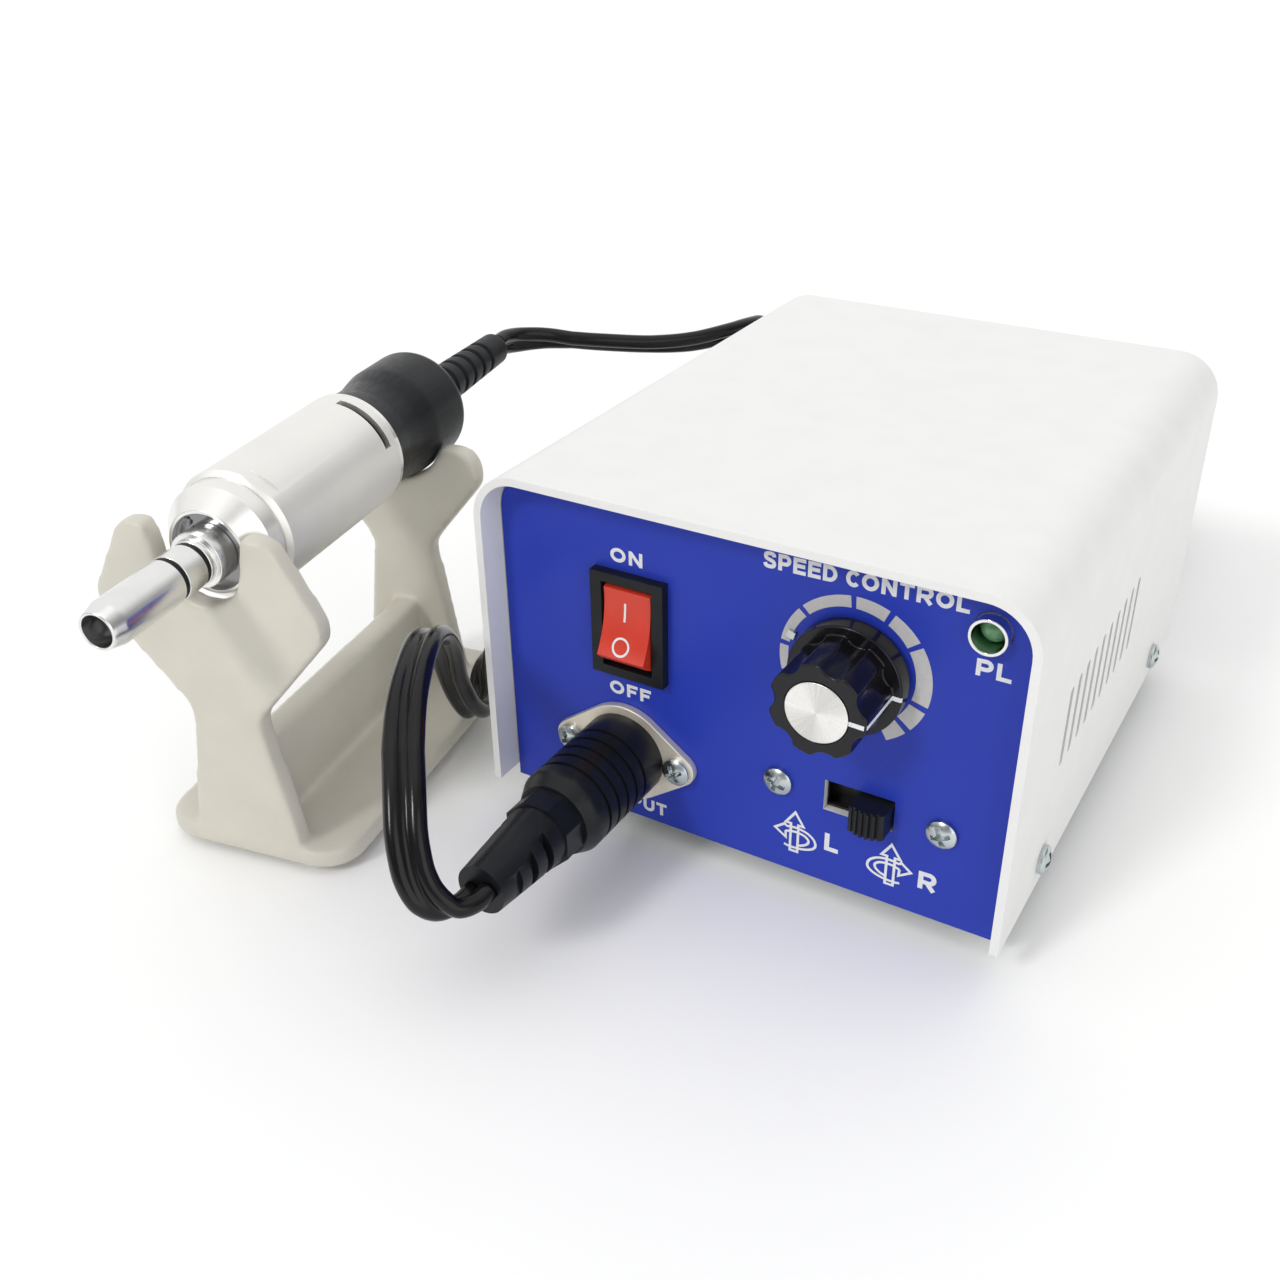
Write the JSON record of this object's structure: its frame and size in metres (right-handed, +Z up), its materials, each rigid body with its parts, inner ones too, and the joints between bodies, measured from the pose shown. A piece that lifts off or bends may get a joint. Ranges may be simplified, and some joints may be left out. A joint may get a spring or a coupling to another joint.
{
  "type": "dental micromotor",
  "caption": "Desktop dental micromotor: white control box with blue panel, rocker switch, speed knob and direction slide, and a corded silver motor handpiece on a cream rest.",
  "frame": {"origin": "middle of the footprint of the control box, handpiece and rest, on the table, the flex and plug left out", "axes": "+X to the right seen from the front panel, +Y from the front panel to the rear, +Z up"},
  "size_m": [0.1705, 0.2822, 0.0768],
  "materials": {
    "cover_white": "smooth white powder coat",
    "panel_blue": "satin blue enamel with white lettering",
    "zinc": "zinc plated",
    "nickel": "bright nickel plate",
    "black_plastic": "fine matt moulding",
    "knob_black": "gloss moulding",
    "rocker_red": "gloss moulding",
    "spun_metal": "spun face",
    "lamp_green": "clear dark green",
    "brass": "plain",
    "copper": "enamelled wire and plain copper",
    "core_steel": "varnished laminations",
    "board_green": "solder resist",
    "can_blue": "sleeved can",
    "sink_aluminium": "plain extrusion",
    "satin_silver": "satin turned",
    "chrome": "polished",
    "rubber_black": "soft black rubber",
    "magnet_grey": "sintered",
    "carbon": "pressed carbon",
    "rest_cream": "smooth cream moulding",
    "flex_black": "glossy black sheath",
    "fuse_glass": "clear glass"
  },
  "bodies": {
    "case": {"top_cover": "cover_white", "base_tray": "zinc", "front_panel": "panel_blue", "cover_screws": "zinc", "rubber_feet": "rubber_black", "foot_screws": "zinc", "rocker_housing": "black_plastic", "rocker_terminals": "brass", "pot_body": "zinc", "pot_nut": "zinc", "lamp_sleeve": "nickel", "pilot_lamp": "lamp_green", "slide_switch": "zinc", "panel_screws": "zinc", "socket_flange": "nickel", "socket_insert": "black_plastic", "socket_tags": "brass", "plug_sleeve": "nickel", "plug_pins": "brass", "plug_body": "black_plastic", "mains_inlet": "black_plastic", "inlet_pins": "nickel", "inlet_screws": "zinc", "fuse_holder": "black_plastic", "fuse_link": "fuse_glass", "pedal_jack": "black_plastic", "jack_nut": "nickel", "transformer_core": "core_steel", "transformer_winding": "copper", "transformer_bracket": "zinc", "tray_screws": "zinc", "control_board": "board_green", "board_posts": "brass", "capacitors": "can_blue", "heat_sink": "sink_aluminium", "power_transistor": "black_plastic", "handpiece_rest": "rest_cream", "cord_front": "flex_black", "cord_coil": "flex_black", "cord_tail": "flex_black", "cord_tie": "black_plastic"},
    "power_rocker": {"power_rocker": "rocker_red"},
    "speed_knob": {"speed_knob": "knob_black", "knob_cap": "spun_metal", "pot_shaft": "zinc"},
    "direction_slider": {"direction_slider": "black_plastic"},
    "fuse_cap": {"fuse_cap": "black_plastic"},
    "handpiece": {"motor_sleeve": "satin_silver", "nose_cap": "satin_silver", "coupling_spigot": "chrome", "coupling_rings": "rubber_black", "nose_screw": "zinc", "magnets": "magnet_grey", "bearings": "zinc", "brush_holders": "brass", "brushes": "carbon", "tail_cap": "black_plastic", "cord_boot": "rubber_black"},
    "rotor": {"rotor": "core_steel", "commutator": "copper"}
  },
  "joints": [
    {"name": "power_rocker", "type": "hinge", "parent": "case", "child": "power_rocker", "pos_m": [0.00962, -0.02502, 0.0477], "axis": [1, 0, 0], "range_deg": [0, 26]},
    {"name": "speed_knob", "type": "hinge", "parent": "case", "child": "speed_knob", "pos_m": [0.05262, -0.02702, 0.0514], "axis": [0, -1, 0], "range_deg": [-58, 242]},
    {"name": "direction_slider", "type": "slide", "parent": "case", "child": "direction_slider", "axis": [-1, 0, 0], "range_m": [0, 0.006]},
    {"name": "fuse_cap", "type": "hinge", "parent": "case", "child": "fuse_cap", "pos_m": [0.00212, 0.08498, 0.0243], "axis": [0, 1, 0], "range_deg": [0, 60]},
    {"name": "handpiece_lift", "type": "slide", "parent": "case", "child": "handpiece", "axis": [0, 0, 1], "range_m": [0, 0.05]},
    {"name": "rotor_spin", "type": "hinge", "parent": "handpiece", "child": "rotor", "pos_m": [-0.06039, -0.02002, 0.0648], "axis": [0.1805, -0.9836, 0], "continuous": true}
  ]
}
